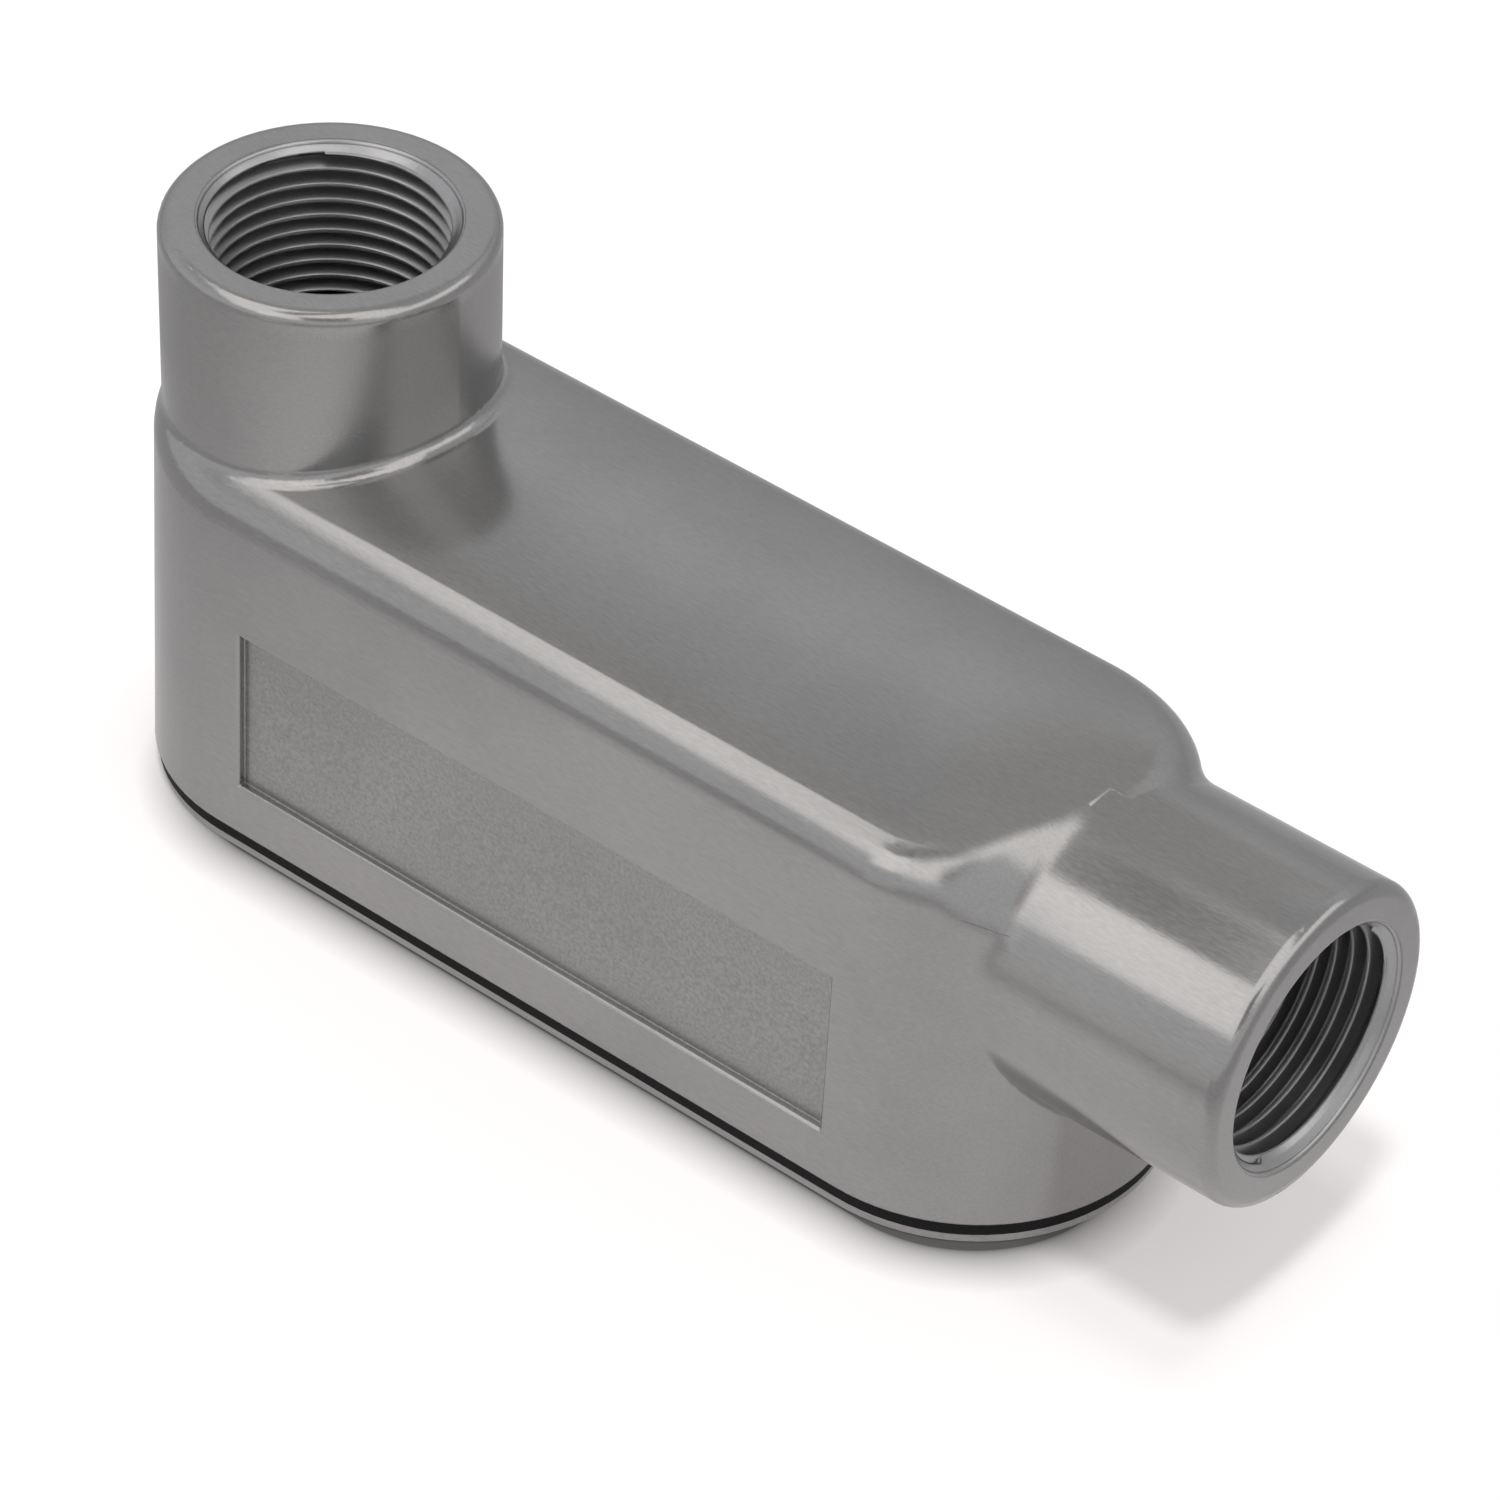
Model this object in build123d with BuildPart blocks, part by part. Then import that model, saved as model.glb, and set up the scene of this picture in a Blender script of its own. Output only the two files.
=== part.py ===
from build123d import *
import math
import os

os.makedirs("parts", exist_ok=True)

# Conduit body, LB shape, 3/4 trade size, cast stainless steel.
# Millimetres. It stands on its cover: +Z goes up through the back hub and
# +X out through the end hub. The origin is on the back hub's axis, in the
# plane of the cover's outer face.

# Stack under the casting
cover_thick = 1.3
gasket_thick = 1.6

# Casting, outside. Both ends of the plan are full half circles.
body_top = 47.7
front_end_x = 104.76
side_draft = 1.27
crown_radius = 55.0
top_edge_radius = 5.0
wall = 3.0
roof = 3.3
chamber_edge_break = 1.4

# Hubs. The back hub points up, the end hub along +X just under the roof.
# At its rim the casting stands out past the hubs by the two shoulders.
hub_radius = 16.98
side_shoulder = 3.78
back_shoulder = 0.9
end_hub_past_end = 0.44
end_hub_under_top = 0.1
hub_rim_radius = 1.4
back_root_radius = 1.5
end_root_radius = 2.4

# Near shoulder of the roof's end, dressed back to a line round the end hub
dress_from_end = 7.16
dress_run = 6.0
dress_rise = 4.8
dress_arc = 60.0

# Taper thread of a 3/4 conduit, bored plain to its major radius. The
# smooth throat behind it is the bushing that the wires run over.
hub_wall = 3.73
thread_depth = 18.0
throat_length = 3.5
bushing_lip = 2.85
throat_break = 1.0

# Sunk rating panel on the near side, left bare
panel_left = 5.7
panel_right = 81.6
panel_bottom = 8.8
panel_top = 28.0
panel_depth = 1.0
panel_edge_break = 0.3

# Cover screws, No. 8-32, flat head, slotted
screw_radius = 2.083
screw_point = 0.5
head_radius = 4.1
head_angle = 82.0
head_sunk = 0.1
slot_width = 1.1
slot_depth = 1.0
running_gap = 0.05

# Screw bosses inside the casting, one at each end
boss_radius = 6.5
boss_in_wall = 1.0
boss_under_throat = 2.32
boss_top_break = 2.0
boss_cap = 2.0
tap_past_screw = 2.1

# Cover and gasket outlines, and the formed seats for the screw heads
cover_inset = 0.5
cover_edge = 0.25
gasket_inset = 0.3
gasket_lap = 1.0
ear_width = 1.6
dimple_gap = 0.3
dimple_reach = 1.3
screw_hole_gap = 0.25

# Values that follow from those above
rim_z = cover_thick + gasket_thick
rim_half_width = hub_radius + side_shoulder
back_end_x = -(hub_radius + back_shoulder)
back_arc_x = back_end_x + rim_half_width
front_arc_x = front_end_x - rim_half_width
plan_mid_x = (back_arc_x + front_arc_x) / 2
plan_pitch = front_arc_x - back_arc_x
inner_half_width = rim_half_width - wall
crown_axis_z = body_top - crown_radius
chamber_top = body_top - roof
end_hub_z = body_top - end_hub_under_top - hub_radius
end_hub_face = front_end_x + end_hub_past_end + thread_depth
end_hub_crest = end_hub_z + hub_radius
dress_x = front_end_x - dress_from_end
back_hub_top = chamber_top + throat_length + thread_depth
thread_major_radius = hub_radius - hub_wall
throat_radius = thread_major_radius - bushing_lip
boss_from_wall = boss_radius - boss_in_wall
back_screw_x = back_end_x + wall + boss_from_wall
front_screw_x = front_end_x - wall - boss_from_wall
boss_height = end_hub_z - throat_radius - throat_break - boss_under_throat - rim_z
tap_depth = boss_height - boss_cap
screw_length = rim_z + tap_depth - tap_past_screw - head_sunk
tap_radius = screw_radius + running_gap
half_angle = math.radians(head_angle / 2)
head_height = (head_radius - screw_radius) / math.tan(half_angle)
sink_radius = head_radius + head_sunk * math.tan(half_angle) + running_gap / math.cos(half_angle)
screw_hole_radius = screw_radius + screw_hole_gap
dimple_radius = screw_hole_radius + cover_thick + dimple_reach * math.tan(half_angle)
gasket_hole_radius = dimple_radius + dimple_gap
draft_sine = math.sin(math.radians(side_draft))
draft_cosine = math.cos(math.radians(side_draft))
back_mouth = Plane(origin=(0, 0, back_hub_top), x_dir=(1, 0, 0), z_dir=(0, 0, 1))
end_mouth = Plane(origin=(end_hub_face, 0, end_hub_z), x_dir=(0, 1, 0), z_dir=(1, 0, 0))
under_cover = Plane(origin=(0, 0, 0), x_dir=(1, 0, 0), z_dir=(0, 0, -1))
near_wall = Plane(
    origin=(0, -rim_half_width, rim_z), x_dir=(1, 0, 0), z_dir=(0, -draft_cosine, draft_sine)
)


def on_hub_side(edge, along_x):
    """True for an edge that lies on a hub's outer cylinder, below its rim."""
    for share in (0.0, 0.3, 0.5, 0.8, 1.0):
        point = edge.position_at(share)
        if along_x:
            reach = math.hypot(point.Y, point.Z - end_hub_z)
            past = point.X > end_hub_face - thread_depth
        else:
            reach = math.hypot(point.X, point.Y)
            past = point.Z > back_hub_top - thread_depth + top_edge_radius
        if past or abs(reach - hub_radius) > 0.01:
            return False
    return True


# The wire chamber inside the casting: the outside form, one wall smaller
with BuildPart() as chamber:
    with BuildSketch(Plane.XY.offset(rim_z)):
        with Locations((plan_mid_x, 0)):
            SlotCenterToCenter(plan_pitch, 2 * inner_half_width)
    extrude(amount=body_top - rim_z, taper=side_draft)
    with BuildSketch(Plane.YZ.offset(back_end_x)):
        with Locations((0, crown_axis_z)):
            Circle(crown_radius - roof)
    extrude(amount=front_end_x - back_end_x, mode=Mode.INTERSECT)
    chamfer(chamber.faces().sort_by(Axis.Z)[-1].edges(), chamber_edge_break)

# Screw bosses that grow from the end walls, bevelled on top
with BuildPart() as bosses:
    with BuildSketch(Plane.XY.offset(rim_z)):
        with Locations((back_screw_x, 0), (front_screw_x, 0)):
            Circle(boss_radius)
        with Locations((back_screw_x - boss_radius / 2, 0), (front_screw_x + boss_radius / 2, 0)):
            Rectangle(boss_radius, 2 * boss_radius)
    extrude(amount=boss_height)
    chamfer(bosses.edges().group_by(Axis.Z)[-1].filter_by(Axis.Y, reverse=True), boss_top_break)

# The casting: one hollow piece with both hubs, the throats, the screw
# bosses and the sunk panel
with BuildPart() as body:
    # Drafted prism, wider at the rim, under a gently crowned roof
    with BuildSketch(Plane.XY.offset(rim_z)):
        with Locations((plan_mid_x, 0)):
            SlotCenterToCenter(plan_pitch, 2 * rim_half_width)
    extrude(amount=body_top - rim_z + 1, taper=side_draft)
    with BuildSketch(Plane.YZ.offset(back_end_x)):
        with Locations((0, crown_axis_z)):
            Circle(crown_radius)
    extrude(amount=front_end_x - back_end_x, mode=Mode.INTERSECT)
    fillet(body.faces().sort_by(Axis.Z)[-1].edges(), top_edge_radius)

    # Sunk panel, as deep at its top as at its foot
    with BuildSketch(near_wall):
        with Locations(((panel_left + panel_right) / 2, (panel_bottom + panel_top) / 2 - rim_z)):
            Rectangle(panel_right - panel_left, panel_top - panel_bottom)
    extrude(amount=-panel_depth, mode=Mode.SUBTRACT)
    panel_rim = body.edges().filter_by(
        lambda edge: abs(near_wall.to_local_coords(edge.center()).Z) < 0.001
        and panel_bottom - 1 < edge.center().Z < panel_top + 1
        and edge.length < panel_right - panel_left + 1
        and edge.center().X < panel_right + 1
    )
    chamfer(panel_rim, panel_edge_break)

    # Back hub, flush with the closed end, and its cast root
    with BuildSketch(Plane.XY.offset(body_top - 2 * top_edge_radius)):
        Circle(hub_radius)
    extrude(amount=back_hub_top - body_top + 2 * top_edge_radius)
    back_root = body.edges().filter_by(lambda edge: on_hub_side(edge, False))
    fillet(back_root, back_root_radius)

    # End hub, level with the roof, and its cast root
    with BuildSketch(Plane.YZ.offset(front_arc_x)):
        with Locations((0, end_hub_z)):
            Circle(hub_radius)
    extrude(amount=end_hub_face - front_arc_x)
    end_root = body.edges().filter_by(lambda edge: on_hub_side(edge, True))
    fillet(end_root, end_root_radius)

    # Near shoulder, bevelled down to the end hub and flush with it beyond
    with BuildSketch(Plane.XZ):
        with BuildLine():
            Polyline(
                (dress_x - dress_run, end_hub_crest + dress_rise),
                (dress_x, end_hub_crest),
                (end_hub_face - thread_depth, end_hub_crest),
                (end_hub_face - thread_depth, end_hub_crest + dress_rise),
                close=True,
            )
        make_face()
    revolve(
        axis=Axis((0, 0, end_hub_z), (1, 0, 0)), revolution_arc=dress_arc, mode=Mode.SUBTRACT
    )

    # Rounded outer edge of each mouth
    mouth_edges = body.edges().filter_by(GeomType.CIRCLE).filter_by(
        lambda edge: abs(edge.radius - hub_radius) < 0.01
    )
    fillet(mouth_edges.sort_by(Axis.Z)[-1], hub_rim_radius)
    fillet(mouth_edges.sort_by(Axis.X)[-1], hub_rim_radius)

    # Wire chamber, open at the rim
    add(chamber.part, mode=Mode.SUBTRACT)

    # Screw bosses, each with a blind tapped hole
    add(bosses.part)
    with BuildSketch(Plane.XY.offset(rim_z)):
        with Locations((back_screw_x, 0), (front_screw_x, 0)):
            Circle(tap_radius)
    extrude(amount=tap_depth, mode=Mode.SUBTRACT)

    # Thread bores with their throats
    with Locations(back_mouth):
        CounterBoreHole(
            radius=throat_radius,
            counter_bore_radius=thread_major_radius,
            counter_bore_depth=thread_depth,
            depth=back_hub_top - chamber_top + top_edge_radius,
        )
    with Locations(end_mouth):
        CounterBoreHole(
            radius=throat_radius,
            counter_bore_radius=thread_major_radius,
            counter_bore_depth=thread_depth,
            depth=end_hub_face - front_arc_x - throat_radius,
        )
    throats = body.faces().filter_by(GeomType.CYLINDER).filter_by(
        lambda face: abs(face.radius - throat_radius) < 0.01
    )
    chamfer(throats.edges().filter_by(lambda edge: edge.geom_type != GeomType.LINE), throat_break)

# Rubber gasket: an open ring with an ear round each screw
with BuildPart() as gasket:
    with BuildSketch(Plane.XY.offset(cover_thick)):
        with Locations((plan_mid_x, 0)):
            SlotCenterToCenter(plan_pitch, 2 * (rim_half_width - gasket_inset))
            SlotCenterToCenter(plan_pitch, 2 * (inner_half_width - gasket_lap), mode=Mode.SUBTRACT)
        with Locations((back_screw_x, 0), (front_screw_x, 0)):
            Circle(gasket_hole_radius + ear_width)
            Circle(gasket_hole_radius, mode=Mode.SUBTRACT)
    extrude(amount=gasket_thick)

# Sheet cover with a formed seat for each screw head
with BuildPart() as cover:
    with BuildSketch():
        with Locations((plan_mid_x, 0)):
            SlotCenterToCenter(plan_pitch, 2 * (rim_half_width - cover_inset))
    extrude(amount=cover_thick)
    chamfer(cover.edges().group_by(Axis.Z)[0] + cover.edges().group_by(Axis.Z)[-1], cover_edge)
    with BuildSketch(Plane.XY.offset(cover_thick)):
        with Locations((back_screw_x, 0), (front_screw_x, 0)):
            Circle(dimple_radius)
    extrude(amount=dimple_reach, taper=head_angle / 2)
    with Locations(under_cover):
        with Locations((back_screw_x, 0), (front_screw_x, 0)):
            CounterSinkHole(
                radius=screw_hole_radius,
                counter_sink_radius=sink_radius,
                counter_sink_angle=head_angle,
                depth=cover_thick + dimple_reach,
            )

# Slotted flat-head screw, drawn once on the origin
with BuildPart() as cover_screw:
    with BuildSketch(Plane.XZ):
        with BuildLine():
            Polyline(
                (0, head_sunk),
                (head_radius, head_sunk),
                (screw_radius, head_sunk + head_height),
                (screw_radius, head_sunk + screw_length - screw_point),
                (screw_radius - screw_point, head_sunk + screw_length),
                (0, head_sunk + screw_length),
                close=True,
            )
        make_face()
    revolve(axis=Axis.Z)
    with BuildSketch(Plane.XY.offset(head_sunk)):
        Rectangle(slot_width, 2 * head_radius)
    extrude(amount=slot_depth, mode=Mode.SUBTRACT)

# The two screws, stopped at different turns
with BuildPart() as cover_screw_back:
    with Locations((back_screw_x, 0)):
        add(cover_screw.part, rotation=(0, 0, 24))

with BuildPart() as cover_screw_end:
    with Locations((front_screw_x, 0)):
        add(cover_screw.part, rotation=(0, 0, -63))

body.part.label = "body"
gasket.part.label = "gasket"
cover.part.label = "cover"
cover_screw_back.part.label = "cover_screw_back"
cover_screw_end.part.label = "cover_screw_end"

export_step(body.part, "parts/body.step")
export_step(gasket.part, "parts/gasket.step")
export_step(cover.part, "parts/cover.step")
export_step(cover_screw_back.part, "parts/cover_screw_back.step")
export_step(cover_screw_end.part, "parts/cover_screw_end.step")
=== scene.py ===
import math
import bmesh
import bpy
from mathutils import Euler, Matrix, Vector


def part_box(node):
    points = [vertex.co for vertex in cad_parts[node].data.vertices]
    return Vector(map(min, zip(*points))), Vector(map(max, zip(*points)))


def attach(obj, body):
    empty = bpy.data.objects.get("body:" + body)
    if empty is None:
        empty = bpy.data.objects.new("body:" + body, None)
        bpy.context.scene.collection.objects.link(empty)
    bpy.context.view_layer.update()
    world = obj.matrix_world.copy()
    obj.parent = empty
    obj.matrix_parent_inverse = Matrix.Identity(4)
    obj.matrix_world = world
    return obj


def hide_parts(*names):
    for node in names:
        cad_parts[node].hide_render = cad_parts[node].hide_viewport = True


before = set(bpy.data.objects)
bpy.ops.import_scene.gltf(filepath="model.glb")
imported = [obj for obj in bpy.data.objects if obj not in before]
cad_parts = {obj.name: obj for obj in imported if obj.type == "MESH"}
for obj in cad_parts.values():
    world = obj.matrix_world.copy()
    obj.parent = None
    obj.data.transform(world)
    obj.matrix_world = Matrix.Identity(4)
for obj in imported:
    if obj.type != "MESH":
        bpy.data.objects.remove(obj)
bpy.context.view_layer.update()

# Floor and light
# The body stands on a white sweep in a pale room. A softbox and a strip give
# the bright bands, flags and a scrim the dark ones, two small lamps the shadow,
# and a painted line on the floor the contact shadow.
world = bpy.data.worlds.new("studio")
bpy.context.scene.world = world
world.use_nodes = True
links = world.node_tree.links
nodes = world.node_tree.nodes
nodes.clear()
sky_out = nodes.new("ShaderNodeOutputWorld")
sky = nodes.new("ShaderNodeBackground")
sky_place = nodes.new("ShaderNodeTexCoord")
sky_split = nodes.new("ShaderNodeSeparateXYZ")
links.new(sky_place.outputs["Generated"], sky_split.inputs[0])
sky_blue = 1.01


def sky_tones(name, tones):
    """A ramp of grey tones from the horizon to the ceiling."""
    ramp = nodes.new("ShaderNodeValToRGB")
    ramp.name = name
    links.new(sky_split.outputs["Z"], ramp.inputs["Fac"])
    steps = ramp.color_ramp.elements
    while len(steps) < len(tones):
        steps.new(0.5)
    for step, (position, tone) in zip(steps, tones):
        step.position = position
        step.color = (tone, tone, tone * sky_blue, 1)
    return ramp.outputs["Color"]


far_tones = ((0.0, 0.46), (0.17, 0.52), (0.60, 0.71), (0.86, 0.56))
near_tones = ((0.0, 0.74), (0.45, 0.74), (0.62, 0.62), (0.86, 0.56))
far_wall = sky_tones("far wall", far_tones)
near_wall = sky_tones("near wall", near_tones)
sky_turn = nodes.new("ShaderNodeMapRange")
sky_turn.inputs["From Min"].default_value = -0.25
sky_turn.inputs["From Max"].default_value = 0.25
sky_tone = nodes.new("ShaderNodeMix")
sky_tone.data_type = "RGBA"
sky_path = nodes.new("ShaderNodeLightPath")
sky_white = nodes.new("ShaderNodeMixShader")
sky_plain = nodes.new("ShaderNodeBackground")
sky_plain.inputs["Color"].default_value = (1, 1, 1, 1)
links.new(sky_split.outputs["Y"], sky_turn.inputs["Value"])
links.new(sky_turn.outputs[0], sky_tone.inputs["Factor"])
links.new(near_wall, sky_tone.inputs["A"])
links.new(far_wall, sky_tone.inputs["B"])
links.new(sky_tone.outputs["Result"], sky.inputs["Color"])
links.new(sky_path.outputs["Is Camera Ray"], sky_white.inputs["Fac"])
links.new(sky.outputs[0], sky_white.inputs[1])
links.new(sky_plain.outputs[0], sky_white.inputs[2])
links.new(sky_white.outputs[0], sky_out.inputs["Surface"])

# The sweep is brighter to the camera than its lamps make it. To a reflection
# it is a darker floor with a painted pool of light round the body that dims outward.
floor_half = 3.0
floor_camera_glow = 0.40
floor_mesh = bmesh.new()
bmesh.ops.create_grid(floor_mesh, x_segments=1, y_segments=1, size=floor_half)
floor_data = bpy.data.meshes.new("floor")
floor_mesh.to_mesh(floor_data)
floor_mesh.free()
floor = bpy.data.objects.new("floor", floor_data)
bpy.context.scene.collection.objects.link(floor)
floor_paint = bpy.data.materials.new("white sweep")
floor_paint.use_nodes = True
links = floor_paint.node_tree.links
nodes = floor_paint.node_tree.nodes
nodes.clear()
floor_out = nodes.new("ShaderNodeOutputMaterial")
floor_shade = nodes.new("ShaderNodeBsdfDiffuse")
floor_tint_and_painted_reflection = nodes.new("ShaderNodeMix")
floor_tint_and_painted_reflection.data_type = "RGBA"
floor_tint_and_painted_reflection.inputs["A"].default_value = (0.58, 0.572, 0.565, 1)
floor_tint_and_painted_reflection.inputs["B"].default_value = (0.30, 0.30, 0.30, 1)
floor_glow = nodes.new("ShaderNodeEmission")
floor_glow.inputs["Color"].default_value = (1.0, 0.94, 0.94, 1)
floor_seen = nodes.new("ShaderNodeLightPath")
floor_place = nodes.new("ShaderNodeTexCoord")
floor_reach = nodes.new("ShaderNodeVectorMath")
floor_reach.operation = "DISTANCE"
floor_reach.inputs[1].default_value = (0.07, -0.03, 0)
# Painted pool of light that only reflections see, dimming outward from the body.
floor_painted_pool = nodes.new("ShaderNodeMapRange")
floor_painted_pool.inputs["From Min"].default_value = 0.06
floor_painted_pool.inputs["From Max"].default_value = 0.14
floor_painted_pool.inputs["To Min"].default_value = 0.44
floor_painted_pool.inputs["To Max"].default_value = 0.15
painted_pool_strength = nodes.new("ShaderNodeMath")
painted_pool_strength.operation = "MULTIPLY"
floor_strength = nodes.new("ShaderNodeMath")
floor_strength.operation = "MULTIPLY_ADD"
floor_strength.inputs[1].default_value = floor_camera_glow
floor_sum = nodes.new("ShaderNodeAddShader")
links.new(floor_seen.outputs["Is Glossy Ray"], floor_tint_and_painted_reflection.inputs["Factor"])
links.new(floor_tint_and_painted_reflection.outputs["Result"], floor_shade.inputs["Color"])
links.new(floor_place.outputs["Object"], floor_reach.inputs[0])
links.new(floor_reach.outputs["Value"], floor_painted_pool.inputs["Value"])
links.new(floor_seen.outputs["Is Glossy Ray"], painted_pool_strength.inputs[0])
links.new(floor_painted_pool.outputs[0], painted_pool_strength.inputs[1])
links.new(floor_seen.outputs["Is Camera Ray"], floor_strength.inputs[0])
links.new(painted_pool_strength.outputs[0], floor_strength.inputs[2])
links.new(floor_strength.outputs[0], floor_glow.inputs["Strength"])
links.new(floor_shade.outputs[0], floor_sum.inputs[0])
links.new(floor_glow.outputs[0], floor_sum.inputs[1])

# A painted contact shadow: a narrow dark line on the floor along the cover's
# near edge. The painted shade fades out from the cover's outline, moved a little
# to the near right, and only the camera sees it.
cover_low, cover_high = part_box("cover")
cover_round = (cover_high.y - cover_low.y) / 2
shade_aside = 0.003
shade_near = 0.004
shade_fade = 0.002
shade_bend = 0.5
shade_strength = 0.88
floor_split = nodes.new("ShaderNodeSeparateXYZ")
floor_line = nodes.new("ShaderNodeClamp")
floor_line.inputs["Min"].default_value = cover_low.x + cover_round + shade_aside
floor_line.inputs["Max"].default_value = cover_high.x - cover_round + shade_aside
floor_nearest = nodes.new("ShaderNodeCombineXYZ")
floor_nearest.inputs["Y"].default_value = -shade_near
floor_away = nodes.new("ShaderNodeVectorMath")
floor_away.operation = "DISTANCE"
painted_shadow_fade = nodes.new("ShaderNodeMapRange")
painted_shadow_fade.inputs["From Min"].default_value = cover_round - shade_near
painted_shadow_fade.inputs["From Max"].default_value = cover_round + shade_fade
floor_bend = nodes.new("ShaderNodeMath")
floor_bend.operation = "POWER"
floor_bend.inputs[1].default_value = shade_bend
# The painted shadow is only for camera rays; reflections see the plain floor.
painted_shadow_depth = nodes.new("ShaderNodeMath")
painted_shadow_depth.operation = "MULTIPLY_ADD"
painted_shadow_depth.inputs[1].default_value = -shade_strength
painted_shadow_depth.inputs[2].default_value = 1.0
painted_shadow_mix = nodes.new("ShaderNodeMapRange")
painted_shadow_black = nodes.new("ShaderNodeBsdfDiffuse")
painted_shadow_black.inputs["Color"].default_value = (0, 0, 0, 1)
floor_top = nodes.new("ShaderNodeMixShader")
links.new(floor_place.outputs["Object"], floor_split.inputs[0])
links.new(floor_split.outputs["X"], floor_line.inputs["Value"])
links.new(floor_line.outputs[0], floor_nearest.inputs["X"])
links.new(floor_place.outputs["Object"], floor_away.inputs[0])
links.new(floor_nearest.outputs[0], floor_away.inputs[1])
links.new(floor_away.outputs["Value"], painted_shadow_fade.inputs["Value"])
links.new(painted_shadow_fade.outputs[0], floor_bend.inputs[0])
links.new(floor_bend.outputs[0], painted_shadow_mix.inputs["Value"])
links.new(floor_seen.outputs["Is Camera Ray"], painted_shadow_depth.inputs[0])
links.new(painted_shadow_depth.outputs[0], painted_shadow_mix.inputs["To Min"])
links.new(painted_shadow_mix.outputs[0], floor_top.inputs["Fac"])
links.new(painted_shadow_black.outputs[0], floor_top.inputs[1])
links.new(floor_sum.outputs[0], floor_top.inputs[2])

# From below the floor is clear, so that the cover's motion can be seen.
floor_side = nodes.new("ShaderNodeNewGeometry")
floor_clear = nodes.new("ShaderNodeBsdfTransparent")
floor_faces = nodes.new("ShaderNodeMixShader")
links.new(floor_side.outputs["Backfacing"], floor_faces.inputs["Fac"])
links.new(floor_top.outputs[0], floor_faces.inputs[1])
links.new(floor_clear.outputs[0], floor_faces.inputs[2])
links.new(floor_faces.outputs[0], floor_out.inputs["Surface"])
floor.data.materials.append(floor_paint)

# Both lamps cast only the shadow: what the metal mirrors are the cards.
for lamp_name, toward, power, spread in (
    ("small near lamp", (0.12, -0.20, 1.0), 1.4, 8),
    ("small overhead lamp", (0.0, 0.05, 1.0), 0.5, 12),
):
    shadow_light = bpy.data.lights.new(lamp_name, "SUN")
    shadow_light.energy = power
    shadow_light.angle = math.radians(spread)
    shadow_lamp = bpy.data.objects.new(lamp_name, shadow_light)
    bpy.context.scene.collection.objects.link(shadow_lamp)
    shadow_lamp.rotation_euler = Vector(toward).to_track_quat("Z", "Y").to_euler()
    shadow_lamp.visible_glossy = False

card_warmth = (1.0, 0.975, 0.96)


def card(name, middle, facing, along, size, tone):
    """A flat card of one tone, its length along a line, that only reflections see."""
    form = bmesh.new()
    bmesh.ops.create_grid(form, x_segments=1, y_segments=1, size=0.5)
    stretch = Matrix.Diagonal((size[0], size[1], 1, 1))
    front = Vector(facing).normalized()
    across = Vector(along).cross(front).normalized()
    turn = Matrix((across, front.cross(across), front)).transposed().to_4x4()
    placed = Matrix.Translation(middle) @ turn @ stretch
    bmesh.ops.transform(form, verts=form.verts, matrix=placed)
    data = bpy.data.meshes.new(name)
    form.to_mesh(data)
    form.free()
    paint = bpy.data.materials.new(name)
    paint.use_nodes = True
    paint.node_tree.nodes.clear()
    out = paint.node_tree.nodes.new("ShaderNodeOutputMaterial")
    glow = paint.node_tree.nodes.new("ShaderNodeEmission")
    glow.inputs["Color"].default_value = [tone * part for part in card_warmth] + [1]
    paint.node_tree.links.new(glow.outputs[0], out.inputs["Surface"])
    paint.cycles.emission_sampling = "NONE"
    data.materials.append(paint)
    held = bpy.data.objects.new(name, data)
    bpy.context.scene.collection.objects.link(held)
    held.visible_camera = False
    held.visible_shadow = False
    held.visible_diffuse = False


card(
    "overhead softbox",
    middle=(0.30, -0.90, 1.0),
    facing=(0, 0, -1),
    along=(0, 1, 0),
    size=(2.0, 2.1),
    tone=1.42,
)
card(
    "card round the lens",
    middle=(0.42, -0.50, 0.56),
    facing=(-0.47, 0.60, -0.64),
    along=(0, 0, 1),
    size=(0.40, 0.40),
    tone=0.42,
)
card(
    "strip beside the end hub",
    middle=(0.0086, -0.1691, 0.1914),
    facing=(0.428, 0.656, -0.622),
    along=(0, 0.688, 0.725),
    size=(0.036, 0.148),
    tone=1.58,
)
card(
    "flag over the end hub",
    middle=(0.0087, -0.0595, 0.2588),
    facing=(0.423, 0.221, -0.879),
    along=(0, 0.970, 0.244),
    size=(0.042, 0.128),
    tone=0.36,
)
card(
    "flag over the long edge",
    middle=(-0.1046, 0.0255, 0.3005),
    facing=(0.153, -0.156, -0.976),
    along=(0.988, 0.025, 0.151),
    size=(0.055, 0.125),
    tone=0.52,
)
card(
    "scrim over the end hub",
    middle=(0.0092, 0.0981, 0.2165),
    facing=(0.460, -0.434, -0.774),
    along=(0, 0.873, -0.487),
    size=(0.042, 0.238),
    tone=0.55,
)
card(
    "low card beside the end hub",
    middle=(0.0293, -0.1962, 0.0215),
    facing=(0.411, 0.909, 0.067),
    along=(0, -0.072, 0.997),
    size=(0.060, 0.038),
    tone=0.72,
)
card(
    "card past the far end",
    middle=(0.486, 0.147, 0.407),
    facing=(-0.76, -0.245, -0.60),
    along=(-0.307, 0.952, 0),
    size=(0.26, 0.80),
    tone=1.35,
)

# Camera
# A long lens above the near right corner, turned a little in the picture.
camera_data = bpy.data.cameras.new("camera")
camera_data.sensor_width = 36
camera_data.lens = 152.84
camera_data.clip_start = 0.05
camera = bpy.data.objects.new("camera", camera_data)
camera.location = (0.34864, -0.37567, 0.42673)
camera.rotation_euler = Euler([math.radians(a) for a in (50.099, -1.986, 39.665)], "XYZ")
bpy.context.scene.collection.objects.link(camera)
bpy.context.scene.camera = camera
bpy.context.scene.view_settings.view_transform = "Standard"

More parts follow.
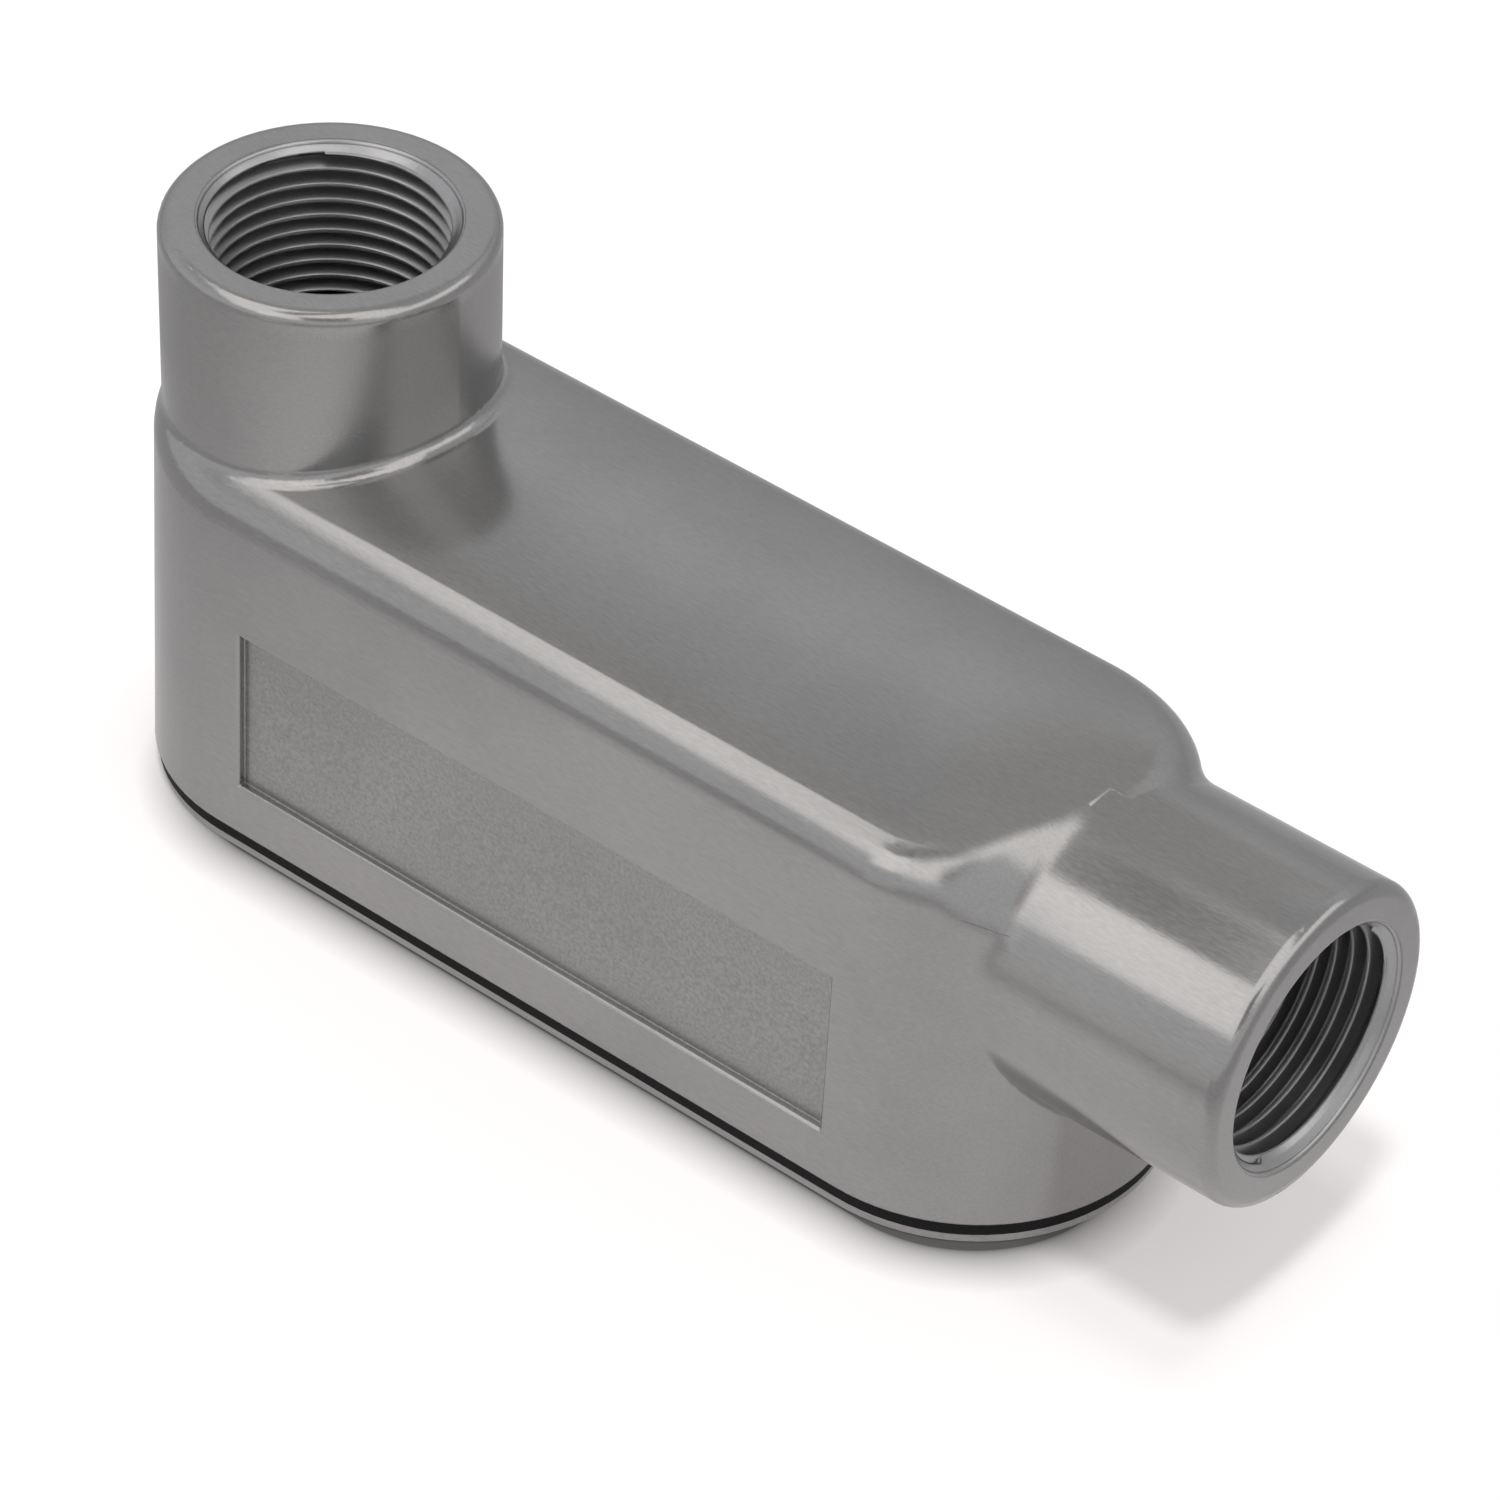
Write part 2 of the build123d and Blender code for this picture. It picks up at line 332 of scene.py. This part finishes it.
# Casting
# One stainless steel pour with both hubs. Its outside is ground and brushed
# to a satin skin, while the sunk panel and the wire chamber stay as cast.
body_low, body_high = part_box("body")
round_reach = 0.0182
roof_under = 0.0455
crown_curve = 1 / (2 * 0.055)
back_arc = body_low.x + (body_high.y - body_low.y) / 2
front_arc = 0.0840
panel_middle = (0.04365, -0.0192, 0.0184)
panel_half = (0.0380, 0.0007, 0.0097)
dressed_middle = (0.0960, -0.0130, 0.0370)
dressed_half = (0.0080, 0.0100, 0.0130)
satin = bpy.data.materials.new("satin and cast stainless")
satin.use_nodes = True
links = satin.node_tree.links
nodes = satin.node_tree.nodes
steel = nodes["Principled BSDF"]
steel.inputs["Metallic"].default_value = 1.0
place = nodes.new("ShaderNodeTexCoord")
split = nodes.new("ShaderNodeSeparateXYZ")
links.new(place.outputs["Object"], split.inputs[0])


def work_out(operation, first, second=None, third=None):
    """A Math node on the casting's sockets and numbers, and its output."""
    node = nodes.new("ShaderNodeMath")
    node.operation = operation
    for socket, value in zip(node.inputs, (first, second, third)):
        if isinstance(value, (int, float)):
            socket.default_value = value
        elif value is not None:
            links.new(value, socket)
    return node.outputs[0]


def inside_box(middle, half):
    """1 inside a box along the casting's axes, and 0 outside it."""
    inside = 1.0
    for socket, centre, span in zip(split.outputs, middle, half):
        inside = work_out("MULTIPLY", work_out("COMPARE", socket, centre, span), inside)
    return inside


# Where the metal is as cast: in the chamber, whose plan is a slot under the
# crowned roof, and in the panel, but not on the dressed shoulder.
side, depth, height = split.outputs
on_axis = work_out("MINIMUM", work_out("MAXIMUM", side, back_arc), front_arc)
past_end = work_out("SUBTRACT", side, on_axis)
past_squared = work_out("MULTIPLY", past_end, past_end)
depth_squared = work_out("MULTIPLY", depth, depth)
reach = work_out("SQRT", work_out("ADD", past_squared, depth_squared))
under = work_out("ADD", height, work_out("MULTIPLY", depth_squared, crown_curve))
in_plan = work_out("LESS_THAN", reach, round_reach)
in_chamber = work_out("MULTIPLY", in_plan, work_out("LESS_THAN", under, roof_under))
in_panel = inside_box(panel_middle, panel_half)
dressed = inside_box(dressed_middle, dressed_half)
in_shell = work_out("MULTIPLY", in_chamber, work_out("SUBTRACT", 1.0, dressed))
as_cast = work_out("MAXIMUM", in_shell, in_panel)

brush_stretch = nodes.new("ShaderNodeMapping")
brush_stretch.inputs["Scale"].default_value = (0.20, 1.0, 1.0)
brush = nodes.new("ShaderNodeTexNoise")
brush.inputs["Scale"].default_value = 4600
brush.inputs["Detail"].default_value = 3
sand = nodes.new("ShaderNodeTexNoise")
sand.inputs["Scale"].default_value = 2600
sand.inputs["Detail"].default_value = 4
sand_pits = nodes.new("ShaderNodeMapRange")
sand_pits.inputs["From Min"].default_value = 0.35
sand_pits.inputs["From Max"].default_value = 0.75
sand_pits.inputs["To Max"].default_value = 0.9
cloud = nodes.new("ShaderNodeTexNoise")
cloud.inputs["Scale"].default_value = 60
cloud.inputs["Detail"].default_value = 5
links.new(place.outputs["Object"], brush_stretch.inputs["Vector"])
links.new(brush_stretch.outputs[0], brush.inputs["Vector"])
links.new(place.outputs["Object"], sand.inputs["Vector"])
links.new(sand.outputs["Fac"], sand_pits.inputs["Value"])
links.new(place.outputs["Object"], cloud.inputs["Vector"])

brush_share = 0.5
steel_tint = nodes.new("ShaderNodeMix")
steel_tint.name = "steel tint"
steel_tint.data_type = "RGBA"
steel_tint.inputs["A"].default_value = (0.268, 0.267, 0.266, 1)
steel_tint.inputs["B"].default_value = (0.470, 0.466, 0.461, 1)
clouded = work_out("MULTIPLY", cloud.outputs["Fac"], 1 - brush_share)
mottle = work_out("MULTIPLY_ADD", brush.outputs["Fac"], brush_share, clouded)
links.new(mottle, steel_tint.inputs["Factor"])
cast_tint = nodes.new("ShaderNodeMix")
cast_tint.data_type = "RGBA"
cast_tint.inputs["B"].default_value = (0.27, 0.268, 0.265, 1)
links.new(work_out("MULTIPLY", as_cast, sand_pits.outputs[0]), cast_tint.inputs["Factor"])
links.new(steel_tint.outputs["Result"], cast_tint.inputs["A"])
links.new(cast_tint.outputs["Result"], steel.inputs["Base Color"])

# The grinding is coarser on the back hub's side, and rougher still as cast.
rough_least = 0.125
rough_spread = 0.08
rough_hub = 0.16
rough_cast = 0.14
satin_rough = work_out("MULTIPLY_ADD", mottle, rough_spread, rough_least)
hub_foot = nodes.new("ShaderNodeMapRange")
hub_foot.inputs["From Min"].default_value = 0.0475
hub_foot.inputs["From Max"].default_value = 0.0540
hub_rim = nodes.new("ShaderNodeMapRange")
hub_rim.inputs["From Min"].default_value = 0.0645
hub_rim.inputs["From Max"].default_value = 0.0630
links.new(height, hub_foot.inputs["Value"])
links.new(height, hub_rim.inputs["Value"])
on_hub = work_out("MULTIPLY", hub_foot.outputs[0], hub_rim.outputs[0])
hub_rough = work_out("MULTIPLY_ADD", on_hub, rough_hub, satin_rough)
cast_rough = work_out("MULTIPLY_ADD", as_cast, rough_cast, hub_rough)
links.new(cast_rough, steel.inputs["Roughness"])

# Fine brush marks or coarse sand in the skin, and edges worn a little round.
sand_depth = 5.0
edge_wear = 0.0003
dressed_wear = 0.0018
fine = work_out("MULTIPLY", brush.outputs["Fac"], work_out("SUBTRACT", 1.0, as_cast))
sanded = work_out("MULTIPLY", sand.outputs["Fac"], as_cast)
coarse = work_out("MULTIPLY", sanded, sand_depth)
skin = nodes.new("ShaderNodeBump")
skin.inputs["Strength"].default_value = 0.35
skin.inputs["Distance"].default_value = 0.00001
links.new(work_out("ADD", fine, coarse), skin.inputs["Height"])
worn_edges = nodes.new("ShaderNodeBevel")
worn_edges.samples = 6
wear = work_out("MULTIPLY_ADD", dressed, dressed_wear, edge_wear)
links.new(wear, worn_edges.inputs["Radius"])
links.new(worn_edges.outputs[0], skin.inputs["Normal"])
links.new(skin.outputs[0], steel.inputs["Normal"])
casting = bpy.data.objects["body"]
casting.data.materials.clear()
casting.data.materials.append(satin)

# Hub threads
# The taper conduit thread in each hub, 14 to the inch, behind a turned mouth.
# Each is a thin sleeve in its plain bore, with the crests worn and painted bright, a
# painted highlight.
bore_radius = 0.01325
bore_depth = 0.018
bore_slack = 0.00002
thread_pitch = 0.0254 / 14
crest_radius = 0.01196
crest_flat = 0.00016
taper = 1 / 32
thread_height = 0.00135
thread_turns = 14
steps_a_turn = 96
crest_margin = 0.00002
weld = 1e-7
near = 1e-6
end_hub_level = 0.03062
mouth_turning = (
    (0, 0.01323),
    (0.00040, 0.01292),
    (0.00046, 0.01301),
    (0.00054, 0.01286),
    (0.00105, 0.01232),
)
mouth_end = mouth_turning[-1][0]
cut_steel = satin.copy()
cut_steel.name = "cut stainless thread"
cut_rough = cut_steel.node_tree.nodes["Principled BSDF"].inputs["Roughness"]
cut_steel.node_tree.links.remove(cut_rough.links[0])
cut_rough.default_value = 0.30
# Lighter than the casting: the cut steel's own tone, and in part a painted reflection of
# the bright mouth on the flanks.
cut_tint_and_painted_reflection = cut_steel.node_tree.nodes["steel tint"]
cut_tint_and_painted_reflection.inputs["A"].default_value = (0.35, 0.353, 0.357, 1)
cut_tint_and_painted_reflection.inputs["B"].default_value = (0.50, 0.503, 0.507, 1)
worn_and_glinting_crest = bpy.data.materials.new("worn and glinting thread crest")
worn_and_glinting_crest.use_nodes = True
worn_shade = worn_and_glinting_crest.node_tree.nodes["Principled BSDF"]
worn_shade.inputs["Metallic"].default_value = 1.0
worn_shade.inputs["Roughness"].default_value = 0.55
worn_place = worn_and_glinting_crest.node_tree.nodes.new("ShaderNodeTexCoord")
worn_nicks = worn_and_glinting_crest.node_tree.nodes.new("ShaderNodeTexNoise")
worn_nicks.inputs["Scale"].default_value = 700
crest_wear_and_glint_tint = worn_and_glinting_crest.node_tree.nodes.new("ShaderNodeMix")
crest_wear_and_glint_tint.data_type = "RGBA"
# Near-white crests: partly wear, partly a painted highlight of the light they catch.
crest_wear_and_glint_tint.inputs["A"].default_value = (0.62, 0.61, 0.60, 1)
crest_wear_and_glint_tint.inputs["B"].default_value = (0.95, 0.93, 0.90, 1)
worn_and_glinting_crest.node_tree.links.new(worn_place.outputs["Object"], worn_nicks.inputs["Vector"])
worn_and_glinting_crest.node_tree.links.new(worn_nicks.outputs["Fac"], crest_wear_and_glint_tint.inputs["Factor"])
worn_and_glinting_crest.node_tree.links.new(crest_wear_and_glint_tint.outputs["Result"], worn_shade.inputs["Base Color"])


def wound_thread(pitch, crest, root, flat, turns, turn_steps):
    """A bmesh of one thread form wound along +Z from a pitch under the origin."""
    form = bmesh.new()
    places = (
        (root, -pitch / 2),
        (root, -pitch / 2 + flat),
        (crest, -flat / 2),
        (crest, flat / 2),
        (root, pitch / 2 - flat),
        (root, pitch / 2),
    )
    corners = [form.verts.new((radius, 0, level - pitch)) for radius, level in places]
    edges = [form.edges.new(pair) for pair in zip(corners, corners[1:])]
    bmesh.ops.spin(
        form,
        geom=corners + edges,
        cent=(0, 0, 0),
        axis=(0, 0, 1),
        dvec=(0, 0, pitch / turn_steps),
        angle=math.tau * turns,
        steps=turn_steps * turns,
    )
    bmesh.ops.remove_doubles(form, verts=form.verts, dist=pitch / 2000)
    return form


def cut_level(form, level, keep_above):
    """Cut a bmesh off flat at a level and give back the edges of the cut."""
    cut = bmesh.ops.bisect_plane(
        form,
        geom=form.verts[:] + form.edges[:] + form.faces[:],
        dist=weld,
        plane_co=(0, 0, level),
        plane_no=(0, 0, 1),
        clear_inner=keep_above,
        clear_outer=not keep_above,
    )
    return [item for item in cut["geom_cut"] if isinstance(item, bmesh.types.BMEdge)]


def mark_level(form, level):
    """Score a flat line round a bmesh at a level."""
    bmesh.ops.bisect_plane(
        form,
        geom=form.verts[:] + form.edges[:] + form.faces[:],
        dist=weld,
        plane_co=(0, 0, level),
        plane_no=(0, 0, 1),
    )


def pull_out(form, edges, radius, level):
    """Extrude a ring of edges to a plain circle at another level."""
    ring = bmesh.ops.extrude_edge_only(form, edges=edges)["geom"]
    for corner in (item for item in ring if isinstance(item, bmesh.types.BMVert)):
        flat_length = math.hypot(corner.co.x, corner.co.y)
        corner.co.x *= radius / flat_length
        corner.co.y *= radius / flat_length
        corner.co.z = level
    return [item for item in ring if isinstance(item, bmesh.types.BMEdge)]


def finished_piece(form, name, material, body):
    """Turn a bmesh into a named piece with its material, under its body."""
    bmesh.ops.remove_doubles(form, verts=form.verts, dist=weld)
    bmesh.ops.recalc_face_normals(form, faces=form.faces)
    data = bpy.data.meshes.new(name)
    form.to_mesh(data)
    form.free()
    piece = bpy.data.objects.new(name, data)
    bpy.context.scene.collection.objects.link(piece)
    data.materials.append(material)
    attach(piece, body)
    return piece


def turned_radius(depth_now):
    """The radius of a hub's turned mouth at a depth."""
    for (upper, wide), (lower, narrow) in zip(mouth_turning, mouth_turning[1:]):
        if depth_now <= lower + near:
            return wide + (narrow - wide) * (depth_now - upper) / (lower - upper)


outer = bore_radius - bore_slack
floor_level = bore_slack - bore_depth
for hub, mouth, turned in (
    (
        "back_hub_thread",
        Vector((0, 0, body_high.z)),
        Matrix.Identity(3),
    ),
    (
        "end_hub_thread",
        Vector((body_high.x, 0, end_hub_level)),
        Matrix.Rotation(math.pi / 2, 3, "Y"),
    ),
):
    thread = wound_thread(
        thread_pitch,
        crest_radius,
        crest_radius + thread_height,
        crest_flat,
        thread_turns,
        steps_a_turn,
    )
    lowered = (0, 0, floor_level - thread_pitch)
    bmesh.ops.translate(thread, verts=thread.verts, vec=lowered)
    cut_level(thread, floor_level, True)
    cut_level(thread, 0, False)
    for scored_depth, _ in mouth_turning[1:]:
        mark_level(thread, -scored_depth)
    for corner in thread.verts:
        depth_now = -corner.co.z
        flat_length = math.hypot(corner.co.x, corner.co.y)
        if depth_now < mouth_end + near:
            held = turned_radius(depth_now)
        else:
            narrowing = 1 - taper * depth_now / crest_radius
            held = min(flat_length * narrowing, outer)
        corner.co.x *= held / flat_length
        corner.co.y *= held / flat_length
    rims = [edge for edge in thread.edges if edge.is_boundary]
    low_ring = [edge for edge in rims if edge.verts[0].co.z < floor_level / 2]
    mouth_ring = [edge for edge in rims if edge.verts[0].co.z > floor_level / 2]
    low_outer = pull_out(thread, low_ring, outer, floor_level)
    mouth_outer = pull_out(thread, mouth_ring, outer, -bore_slack)
    bmesh.ops.bridge_loops(thread, edges=low_outer + mouth_outer)
    for face in thread.faces:
        reaches = [math.hypot(corner.co.x, corner.co.y) for corner in face.verts]
        depths = [-corner.co.z for corner in face.verts]
        crest_there = crest_radius - taper * sum(depths) / len(depths) + crest_margin
        if max(reaches) < crest_there and min(depths) > mouth_end - near:
            face.material_index = 1
    bmesh.ops.transform(thread, matrix=turned.to_4x4(), verts=thread.verts)
    bmesh.ops.translate(thread, verts=thread.verts, vec=mouth)
    thread_piece = finished_piece(thread, hub, cut_steel, "casting")
    thread_piece.data.materials.append(worn_and_glinting_crest)

# Gasket
# A sheet rubber gasket, matt black, that the cover presses flat.
rubber = bpy.data.materials.new("matt black rubber")
rubber.use_nodes = True
links = rubber.node_tree.links
nodes = rubber.node_tree.nodes
rubber_shade = nodes["Principled BSDF"]
rubber_shade.inputs["Roughness"].default_value = 0.62
rubber_shade.inputs["Specular IOR Level"].default_value = 0.15
rubber_place = nodes.new("ShaderNodeTexCoord")
rubber_grain = nodes.new("ShaderNodeTexNoise")
rubber_grain.inputs["Scale"].default_value = 1800
rubber_tint = nodes.new("ShaderNodeMix")
rubber_tint.data_type = "RGBA"
rubber_tint.inputs["A"].default_value = (0.004, 0.004, 0.005, 1)
rubber_tint.inputs["B"].default_value = (0.011, 0.011, 0.012, 1)
rubber_skin = nodes.new("ShaderNodeBump")
rubber_skin.inputs["Strength"].default_value = 0.4
rubber_skin.inputs["Distance"].default_value = 0.00003
links.new(rubber_place.outputs["Object"], rubber_grain.inputs["Vector"])
links.new(rubber_grain.outputs["Fac"], rubber_tint.inputs["Factor"])
links.new(rubber_tint.outputs["Result"], rubber_shade.inputs["Base Color"])
links.new(rubber_grain.outputs["Fac"], rubber_skin.inputs["Height"])
links.new(rubber_skin.outputs[0], rubber_shade.inputs["Normal"])
gasket = bpy.data.objects["gasket"]
gasket.data.materials.clear()
gasket.data.materials.append(rubber)

# Cover
# Stainless sheet, blanked and formed, with the mill's fine grain along it.
sheet = bpy.data.materials.new("satin stainless sheet")
sheet.use_nodes = True
links = sheet.node_tree.links
nodes = sheet.node_tree.nodes
sheet_shade = nodes["Principled BSDF"]
sheet_shade.inputs["Metallic"].default_value = 1.0
sheet_place = nodes.new("ShaderNodeTexCoord")
sheet_stretch = nodes.new("ShaderNodeMapping")
sheet_stretch.inputs["Scale"].default_value = (0.04, 1.0, 1.0)
sheet_grain = nodes.new("ShaderNodeTexNoise")
sheet_grain.inputs["Scale"].default_value = 3200
sheet_grain.inputs["Detail"].default_value = 3
sheet_tint = nodes.new("ShaderNodeMix")
sheet_tint.data_type = "RGBA"
sheet_tint.inputs["A"].default_value = (0.29, 0.288, 0.285, 1)
sheet_tint.inputs["B"].default_value = (0.43, 0.427, 0.422, 1)
sheet_rough = nodes.new("ShaderNodeMapRange")
sheet_rough.inputs["To Min"].default_value = 0.24
sheet_rough.inputs["To Max"].default_value = 0.36
sheet_skin = nodes.new("ShaderNodeBump")
sheet_skin.inputs["Strength"].default_value = 0.35
sheet_skin.inputs["Distance"].default_value = 0.00001
links.new(sheet_place.outputs["Object"], sheet_stretch.inputs["Vector"])
links.new(sheet_stretch.outputs[0], sheet_grain.inputs["Vector"])
links.new(sheet_grain.outputs["Fac"], sheet_tint.inputs["Factor"])
links.new(sheet_tint.outputs["Result"], sheet_shade.inputs["Base Color"])
links.new(sheet_grain.outputs["Fac"], sheet_rough.inputs["Value"])
links.new(sheet_rough.outputs[0], sheet_shade.inputs["Roughness"])
links.new(sheet_grain.outputs["Fac"], sheet_skin.inputs["Height"])
links.new(sheet_skin.outputs[0], sheet_shade.inputs["Normal"])
cover = bpy.data.objects["cover"]
cover.data.materials.clear()
cover.data.materials.append(sheet)

# Cover screws
# Two slotted flat-head stainless machine screws, No. 8-32, rolled threads.
# They are driven up through the cover into the casting's tapped bosses.
shank_radius = 0.00207
core_radius = 0.00160
screw_pitch = 0.0254 / 32
head_reach = 0.0041
head_slope = math.tan(math.radians(41))
head_land = 0.00018
rim_ease = 0.00006
slot_half = 0.00055
slot_deep = 0.0010
screw_flat = 0.00009
screw_turns = 16
screw_steps = 48
neck_rise = 0.0004
runout_slope = 0.8
point_cut = 0.0006
tip_radius = 0.0011
screw_steel = bpy.data.materials.new("rolled stainless screw")
screw_steel.use_nodes = True
links = screw_steel.node_tree.links
nodes = screw_steel.node_tree.nodes
screw_shade = nodes["Principled BSDF"]
screw_shade.inputs["Metallic"].default_value = 1.0
screw_place = nodes.new("ShaderNodeTexCoord")
screw_cloud = nodes.new("ShaderNodeTexNoise")
screw_cloud.inputs["Scale"].default_value = 900
screw_cloud.inputs["Detail"].default_value = 4
screw_tint = nodes.new("ShaderNodeMix")
screw_tint.data_type = "RGBA"
screw_tint.inputs["A"].default_value = (0.30, 0.297, 0.290, 1)
screw_tint.inputs["B"].default_value = (0.46, 0.455, 0.445, 1)
screw_rough = nodes.new("ShaderNodeMapRange")
screw_rough.inputs["To Min"].default_value = 0.18
screw_rough.inputs["To Max"].default_value = 0.34
screw_skin = nodes.new("ShaderNodeBump")
screw_skin.inputs["Strength"].default_value = 0.3
screw_skin.inputs["Distance"].default_value = 0.00001
links.new(screw_place.outputs["Object"], screw_cloud.inputs["Vector"])
links.new(screw_cloud.outputs["Fac"], screw_tint.inputs["Factor"])
links.new(screw_tint.outputs["Result"], screw_shade.inputs["Base Color"])
links.new(screw_cloud.outputs["Fac"], screw_rough.inputs["Value"])
links.new(screw_rough.outputs[0], screw_shade.inputs["Roughness"])
links.new(screw_cloud.outputs["Fac"], screw_skin.inputs["Height"])
links.new(screw_skin.outputs[0], screw_shade.inputs["Normal"])


def cut_slot(form, head_level, head_top):
    """Cut the driver's slot along Y across the foot of a screw head."""
    slot_top = head_level + slot_deep
    for place, facing in (
        ((-slot_half, 0, 0), (1, 0, 0)),
        ((slot_half, 0, 0), (1, 0, 0)),
        ((0, 0, slot_top), (0, 0, 1)),
    ):
        head = [
            face
            for face in form.faces
            if max(corner.co.z for corner in face.verts) < head_top + near
        ]
        head_edges = {edge for face in head for edge in face.edges}
        head_corners = {corner for face in head for corner in face.verts}
        bmesh.ops.bisect_plane(
            form,
            geom=head + list(head_edges) + list(head_corners),
            dist=weld / 10,
            plane_co=place,
            plane_no=facing,
        )
    middles = [(face, face.calc_center_median()) for face in form.faces]
    milled = [
        face
        for face, middle in middles
        if middle.z < slot_top and abs(middle.x) < slot_half
    ]
    bmesh.ops.delete(form, geom=milled, context="FACES")
    rim = [edge for edge in form.edges if edge.is_boundary]
    for face_x in (-slot_half, slot_half):
        wall = [
            edge
            for edge in rim
            if all(abs(corner.co.x - face_x) < weld for corner in edge.verts)
        ]
        corners = {corner for edge in wall for corner in edge.verts}
        feet = [corner for corner in corners if abs(corner.co.z - slot_top) < weld]
        bmesh.ops.contextual_create(form, geom=wall + [form.edges.new(feet)])
    bmesh.ops.edgeloop_fill(form, edges=[edge for edge in form.edges if edge.is_boundary])


for node_name, body_name, stopped_at in (
    ("cover_screw_back", "screw_back", 24),
    ("cover_screw_end", "screw_end", -63),
):
    screw_low, screw_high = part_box(node_name)
    head_level = screw_low.z
    tip_level = screw_high.z
    head_top = head_level + (head_reach - core_radius) / head_slope
    neck_level = head_top + neck_rise
    screw = wound_thread(
        screw_pitch, shank_radius, core_radius, screw_flat, screw_turns, screw_steps
    )
    lifted = (0, 0, neck_level - screw_pitch / 2)
    bmesh.ops.translate(screw, verts=screw.verts, vec=lifted)
    for corner in screw.verts:
        flat_length = math.hypot(corner.co.x, corner.co.y)
        runout = core_radius + max(corner.co.z - neck_level, 0) * runout_slope
        point = shank_radius - point_cut + max(tip_level - corner.co.z, 0)
        held = min(flat_length, runout, point) / flat_length
        corner.co.x *= held
        corner.co.y *= held
    cut_level(screw, neck_level, True)
    cut_level(screw, tip_level, False)
    rims = [edge for edge in screw.edges if edge.is_boundary]
    half_way = (neck_level + tip_level) / 2
    tip_ring = [edge for edge in rims if edge.verts[0].co.z > half_way]
    neck_ring = [edge for edge in rims if edge.verts[0].co.z < half_way]
    tip_edges = pull_out(screw, tip_ring, tip_radius, tip_level)
    bmesh.ops.edgeloop_fill(screw, edges=tip_edges)
    for radius, level in (
        (core_radius, head_top),
        (head_reach, head_level + head_land),
        (head_reach - rim_ease, head_level + head_land / 3),
        (head_reach - head_land, head_level),
    ):
        neck_ring = pull_out(screw, neck_ring, radius, level)
    bmesh.ops.edgeloop_fill(screw, edges=neck_ring)
    bmesh.ops.remove_doubles(screw, verts=screw.verts, dist=weld)
    cut_slot(screw, head_level, head_top)
    slot_turn = Matrix.Rotation(math.radians(stopped_at), 3, "Z")
    seat = ((screw_low.x + screw_high.x) / 2, 0, 0)
    bmesh.ops.rotate(screw, verts=screw.verts, cent=(0, 0, 0), matrix=slot_turn)
    bmesh.ops.translate(screw, verts=screw.verts, vec=seat)
    piece = finished_piece(
        screw, "slotted_" + body_name, screw_steel, body_name
    )
    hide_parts(node_name)
